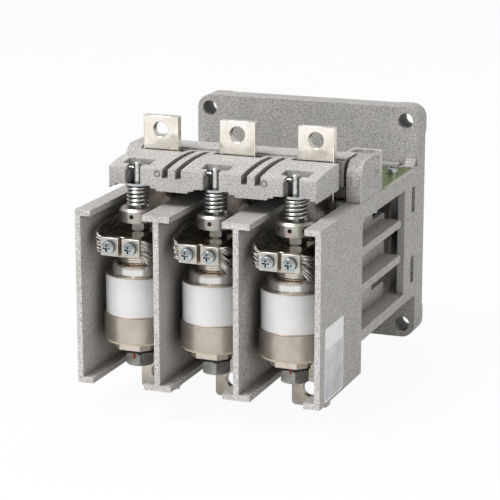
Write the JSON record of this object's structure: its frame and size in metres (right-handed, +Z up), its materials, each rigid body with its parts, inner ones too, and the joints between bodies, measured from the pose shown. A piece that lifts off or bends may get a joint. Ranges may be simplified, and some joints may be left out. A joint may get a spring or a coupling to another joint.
{
  "type": "vacuum contactor",
  "caption": "Open-frame vacuum contactor: vacuum interrupters between barriers, worked by a rocker that a coil pulls down against springs, on a moulded base.",
  "frame": {"origin": "centre of the four mounting holes, on the panel's face", "axes": "+X across the poles to the right seen from the front, +Y to the panel, +Z up"},
  "size_m": [0.1688, 0.2325, 0.1888],
  "materials": {
    "grey_moulding": "speckled grey glass-filled thermoset",
    "tinned_copper": "tinned copper bar, semi-gloss",
    "copper": "polished copper",
    "ceramic": "white glazed ceramic",
    "band_steel": "satin turned steel",
    "cup_metal": "satin nickel alloy",
    "shield_metal": "dull steel sheet",
    "zinc": "bright zinc plate",
    "spring_steel": "zinc plated spring wire",
    "magnet_steel": "ground magnet steel",
    "braid": "tinned copper braid",
    "insulator": "cream moulded insulation",
    "black_washer": "black oxide",
    "rubber": "black rubber",
    "bobbin": "black moulded nylon",
    "winding": "varnished copper winding under tape",
    "board": "green solder mask",
    "board_plastic": "dark moulded parts",
    "bush": "bearing plastic"
  },
  "bodies": {
    "frame": {"base_frame": "grey_moulding", "pole_frame": "grey_moulding", "bearing_block_left": "grey_moulding", "bearing_block_right": "grey_moulding", "bearing_bushes": "bush", "barrier_screws": "zinc", "bearing_screws": "zinc", "board_screws": "zinc", "magnet_screws": "zinc", "lower_cups": "band_steel", "ceramics": "ceramic", "upper_cups": "cup_metal", "fixed_stems": "copper", "arc_shields": "shield_metal", "bellows": "cup_metal", "insulating_rings": "insulator", "lower_nuts": "zinc", "lower_washers": "black_washer", "braids": "braid", "rear_ferrules": "tinned_copper", "terminal_screws": "zinc", "magnet_yoke": "magnet_steel", "magnet_cores": "magnet_steel", "coil_bobbins": "bobbin", "coils": "winding", "spring_post": "zinc", "return_spring": "spring_steel", "circuit_board": "board", "board_parts": "board_plastic", "stop_buffers": "rubber", "contact_springs": "spring_steel", "lower_terminal_1": "tinned_copper", "upper_terminal_1": "tinned_copper", "lower_terminal_2": "tinned_copper", "upper_terminal_2": "tinned_copper", "lower_terminal_3": "tinned_copper", "upper_terminal_3": "tinned_copper"},
    "rocker_arm": {"rocker": "grey_moulding", "rocker_shaft": "zinc", "armature": "magnet_steel", "armature_screws": "zinc", "spring_washers": "zinc"},
    "pole_1": {"moving_stem_1": "copper", "contact_block_1": "copper", "front_ferrules_1": "tinned_copper", "pole_fasteners_1": "zinc", "spring_collar_1": "zinc", "pull_rod_1": "zinc"},
    "pole_2": {"moving_stem_2": "copper", "contact_block_2": "copper", "front_ferrules_2": "tinned_copper", "pole_fasteners_2": "zinc", "spring_collar_2": "zinc", "pull_rod_2": "zinc"},
    "pole_3": {"moving_stem_3": "copper", "contact_block_3": "copper", "front_ferrules_3": "tinned_copper", "pole_fasteners_3": "zinc", "spring_collar_3": "zinc", "pull_rod_3": "zinc"}
  },
  "joints": [
    {"name": "rocker_hinge", "type": "hinge", "parent": "frame", "child": "rocker_arm", "pos_m": [0, -0.1305, 0.055], "axis": [1, 0, 0], "range_deg": [0, 2.59], "stiffness_Nm_per_rad": 6, "springref_deg": -14.32, "deforming": ["contact_springs", "return_spring", "bellows", "braids"]},
    {"name": "contact_slide_1", "type": "slide", "parent": "frame", "child": "pole_1", "axis": [0, 0, -1], "range_m": [0, 0.002]},
    {"name": "contact_slide_2", "type": "slide", "parent": "frame", "child": "pole_2", "axis": [0, 0, -1], "range_m": [0, 0.002]},
    {"name": "contact_slide_3", "type": "slide", "parent": "frame", "child": "pole_3", "axis": [0, 0, -1], "range_m": [0, 0.002]}
  ],
  "couplings": [
    {"joint": "contact_slide_1", "follows": "rocker_hinge", "m_per_rad": 0.0443},
    {"joint": "contact_slide_2", "follows": "rocker_hinge", "m_per_rad": 0.0443},
    {"joint": "contact_slide_3", "follows": "rocker_hinge", "m_per_rad": 0.0443}
  ]
}
